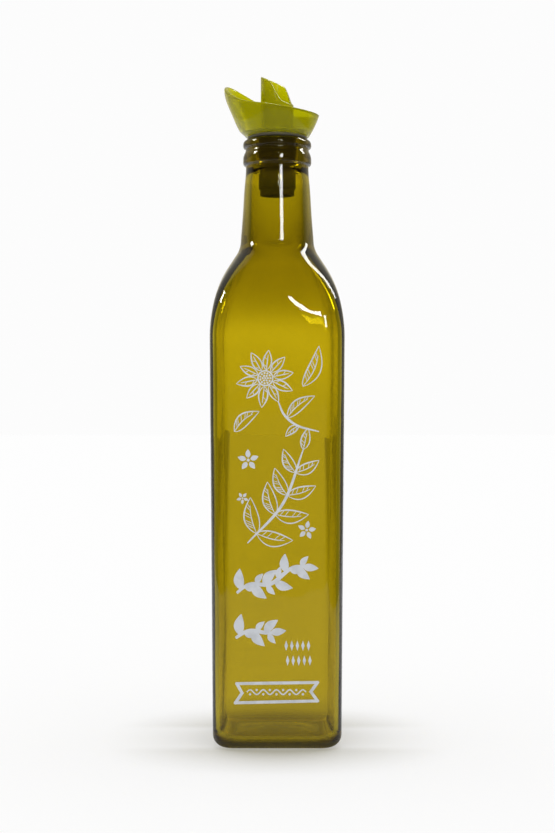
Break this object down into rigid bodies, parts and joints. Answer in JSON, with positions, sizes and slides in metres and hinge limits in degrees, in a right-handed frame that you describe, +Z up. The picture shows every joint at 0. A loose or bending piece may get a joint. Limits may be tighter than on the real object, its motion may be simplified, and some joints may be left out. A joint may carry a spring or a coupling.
{
  "type": "olive oil bottle",
  "caption": "Tall square olive-green glass oil bottle with rounded corners, sloping shoulders, ringed neck, rubber plug and a translucent drip-catching pourer.",
  "frame": {"origin": "on the bottle's axis, in the plane it stands on", "axes": "+Z up along the bottle's axis; the printed front panel faces -Y; +X is to the right of someone who looks at the front"},
  "size_m": [0.0576, 0.0576, 0.2904],
  "materials": {
    "olive_glass": "clear olive-green bottle glass, glossy",
    "clear_olive_plastic": "translucent olive-green moulded plastic, glossy",
    "black_rubber": "black moulded rubber, satin"
  },
  "bodies": {
    "root": {"bottle": "olive_glass", "pourer": "clear_olive_plastic", "stopper_plug": "black_rubber"}
  },
  "joints": []
}
